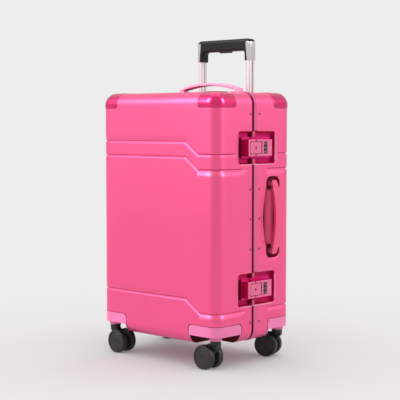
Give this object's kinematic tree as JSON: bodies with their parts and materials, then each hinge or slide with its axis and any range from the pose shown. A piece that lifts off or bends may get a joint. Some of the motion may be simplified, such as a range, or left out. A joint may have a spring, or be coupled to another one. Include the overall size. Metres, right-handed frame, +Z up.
{
  "type": "suitcase",
  "caption": "Hard shell cabin suitcase with framed halves, telescopic handle, carry handles, latches and four twin-wheel swivel casters.",
  "frame": {"origin": "on the floor under the middle of the case", "axes": "+X towards the latches and side handle, +Y towards the back with the telescopic handle, +Z up"},
  "size_m": [0.3838, 0.238, 0.679],
  "materials": {
    "shell": "satin",
    "frame": "satin",
    "guard": "gloss",
    "housing": "matte",
    "handle": "matte",
    "lock": "satin",
    "post": "polished",
    "grip": "gloss",
    "black_plastic": "matte",
    "steel": "satin",
    "tube": "satin",
    "seal": "matte",
    "tyre": "matte",
    "dial": "matte",
    "lining": "matte",
    "divider": "matte",
    "strap": "matte"
  },
  "bodies": {
    "back_half": {"back_shell": "shell", "back_frame": "frame", "frame_seal": "seal", "back_rivets": "steel", "back_corner_guards": "guard", "back_wheel_housings": "housing", "trolley_cup": "black_plastic", "trolley_outer_tubes": "tube", "trolley_base_bracket": "black_plastic", "top_handle_mounts": "housing", "side_handle_mounts": "housing", "latch_housings": "lock", "latch_pins": "steel", "dial_shafts": "steel", "hinge_back_leaves": "frame", "hinge_pins": "steel", "back_lining": "lining", "packing_straps": "strap", "strap_buckle": "black_plastic"},
    "front_half": {"front_shell": "shell", "front_frame": "frame", "front_rivets": "steel", "front_corner_guards": "guard", "front_wheel_housings": "housing", "latch_keepers": "lock", "hinge_front_leaves": "frame", "front_lining": "lining", "divider_panel": "divider"},
    "trolley_middle": {"trolley_middle_tubes": "tube"},
    "trolley_upper": {"trolley_inner_tubes": "post", "trolley_grip": "grip", "trolley_grip_caps": "post", "trolley_tube_rivets": "steel"},
    "release_button": {"trolley_button": "grip"},
    "release_rods": {"trolley_release_rods": "tube"},
    "top_handle": {"top_handle": "handle"},
    "side_handle": {"side_handle": "handle"},
    "upper_clasp": {"upper_clasp": "lock"},
    "upper_key": {"upper_key_cylinder": "steel"},
    "upper_dial_1": {"upper_dial_1": "dial"},
    "upper_dial_2": {"upper_dial_2": "dial"},
    "upper_dial_3": {"upper_dial_3": "dial"},
    "lower_clasp": {"lower_clasp": "lock"},
    "lower_key": {"lower_key_cylinder": "steel"},
    "lower_dial_1": {"lower_dial_1": "dial"},
    "lower_dial_2": {"lower_dial_2": "dial"},
    "lower_dial_3": {"lower_dial_3": "dial"},
    "front_right_caster": {"front_right_fork": "black_plastic", "front_right_axle": "steel"},
    "front_right_wheels": {"front_right_wheels": "tyre"},
    "front_left_caster": {"front_left_fork": "black_plastic", "front_left_axle": "steel"},
    "front_left_wheels": {"front_left_wheels": "tyre"},
    "back_right_caster": {"back_right_fork": "black_plastic", "back_right_axle": "steel"},
    "back_right_wheels": {"back_right_wheels": "tyre"},
    "back_left_caster": {"back_left_fork": "black_plastic", "back_left_axle": "steel"},
    "back_left_wheels": {"back_left_wheels": "tyre"}
  },
  "joints": [
    {"name": "lid_hinge", "type": "hinge", "parent": "back_half", "child": "front_half", "pos_m": [-0.1766, -0.006, 0.304], "axis": [0, 0, -1], "range_deg": [0, 180]},
    {"name": "trolley_middle_slide", "type": "slide", "parent": "back_half", "child": "trolley_middle", "axis": [0, 0, 1], "range_m": [0, 0.22]},
    {"name": "trolley_upper_slide", "type": "slide", "parent": "trolley_middle", "child": "trolley_upper", "axis": [0, 0, 1], "range_m": [-0.118, 0.16]},
    {"name": "release_button_press", "type": "slide", "parent": "trolley_upper", "child": "release_button", "axis": [0, 0, 1], "range_m": [0, 0.004], "stiffness_N_per_m": 300, "springref_m": -0.004},
    {"name": "release_rods_travel", "type": "slide", "parent": "trolley_upper", "child": "release_rods", "axis": [0, 0, 1], "range_m": [-0.004, 0], "stiffness_N_per_m": 600, "springref_m": 0.002},
    {"name": "top_handle_lift", "type": "slide", "parent": "back_half", "child": "top_handle", "axis": [0, 0, 1], "range_m": [0, 0.008], "stiffness_N_per_m": 200, "springref_m": -0.002},
    {"name": "side_handle_lift", "type": "slide", "parent": "back_half", "child": "side_handle", "axis": [1, 0, 0], "range_m": [0, 0.008], "stiffness_N_per_m": 200, "springref_m": -0.004},
    {"name": "upper_clasp_hinge", "type": "hinge", "parent": "back_half", "child": "upper_clasp", "pos_m": [0.1743, 0.0085, 0.447], "axis": [0, 0, 1], "range_deg": [0, 75]},
    {"name": "upper_key_turn", "type": "hinge", "parent": "upper_clasp", "child": "upper_key", "pos_m": [0.1775, -0.006, 0.447], "axis": [1, 0, 0], "range_deg": [0, 90]},
    {"name": "upper_dial_1_turn", "type": "hinge", "parent": "back_half", "child": "upper_dial_1", "pos_m": [0.1703, 0.0234, 0.455], "axis": [0, 0, 1], "continuous": true},
    {"name": "upper_dial_2_turn", "type": "hinge", "parent": "back_half", "child": "upper_dial_2", "pos_m": [0.1703, 0.0234, 0.447], "axis": [0, 0, 1], "continuous": true},
    {"name": "upper_dial_3_turn", "type": "hinge", "parent": "back_half", "child": "upper_dial_3", "pos_m": [0.1703, 0.0234, 0.439], "axis": [0, 0, 1], "continuous": true},
    {"name": "lower_clasp_hinge", "type": "hinge", "parent": "back_half", "child": "lower_clasp", "pos_m": [0.1743, 0.0085, 0.1565], "axis": [0, 0, 1], "range_deg": [0, 75]},
    {"name": "lower_key_turn", "type": "hinge", "parent": "lower_clasp", "child": "lower_key", "pos_m": [0.1775, -0.006, 0.1565], "axis": [1, 0, 0], "range_deg": [0, 90]},
    {"name": "lower_dial_1_turn", "type": "hinge", "parent": "back_half", "child": "lower_dial_1", "pos_m": [0.1703, 0.0234, 0.1645], "axis": [0, 0, 1], "continuous": true},
    {"name": "lower_dial_2_turn", "type": "hinge", "parent": "back_half", "child": "lower_dial_2", "pos_m": [0.1703, 0.0234, 0.1565], "axis": [0, 0, 1], "continuous": true},
    {"name": "lower_dial_3_turn", "type": "hinge", "parent": "back_half", "child": "lower_dial_3", "pos_m": [0.1703, 0.0234, 0.1485], "axis": [0, 0, 1], "continuous": true},
    {"name": "front_right_swivel", "type": "hinge", "parent": "front_half", "child": "front_right_caster", "pos_m": [0.149, -0.0965, 0.06], "axis": [0, 0, 1], "continuous": true},
    {"name": "front_right_roll", "type": "hinge", "parent": "front_right_caster", "child": "front_right_wheels", "pos_m": [0.129, -0.0965, 0.025], "axis": [0, -1, 0], "continuous": true},
    {"name": "front_left_swivel", "type": "hinge", "parent": "front_half", "child": "front_left_caster", "pos_m": [-0.149, -0.0965, 0.06], "axis": [0, 0, 1], "continuous": true},
    {"name": "front_left_roll", "type": "hinge", "parent": "front_left_caster", "child": "front_left_wheels", "pos_m": [-0.129, -0.0965, 0.025], "axis": [0, 1, 0], "continuous": true},
    {"name": "back_right_swivel", "type": "hinge", "parent": "back_half", "child": "back_right_caster", "pos_m": [0.149, 0.0965, 0.06], "axis": [0, 0, 1], "continuous": true},
    {"name": "back_right_roll", "type": "hinge", "parent": "back_right_caster", "child": "back_right_wheels", "pos_m": [0.13003, 0.09015, 0.025], "axis": [0.3173, -0.9483, 0], "continuous": true},
    {"name": "back_left_swivel", "type": "hinge", "parent": "back_half", "child": "back_left_caster", "pos_m": [-0.149, 0.0965, 0.06], "axis": [0, 0, 1], "continuous": true},
    {"name": "back_left_roll", "type": "hinge", "parent": "back_left_caster", "child": "back_left_wheels", "pos_m": [-0.16892, 0.09476, 0.025], "axis": [0.0872, -0.9962, 0], "continuous": true}
  ],
  "couplings": [
    {"joint": "release_rods_travel", "follows": "release_button_press", "ratio": -1}
  ]
}
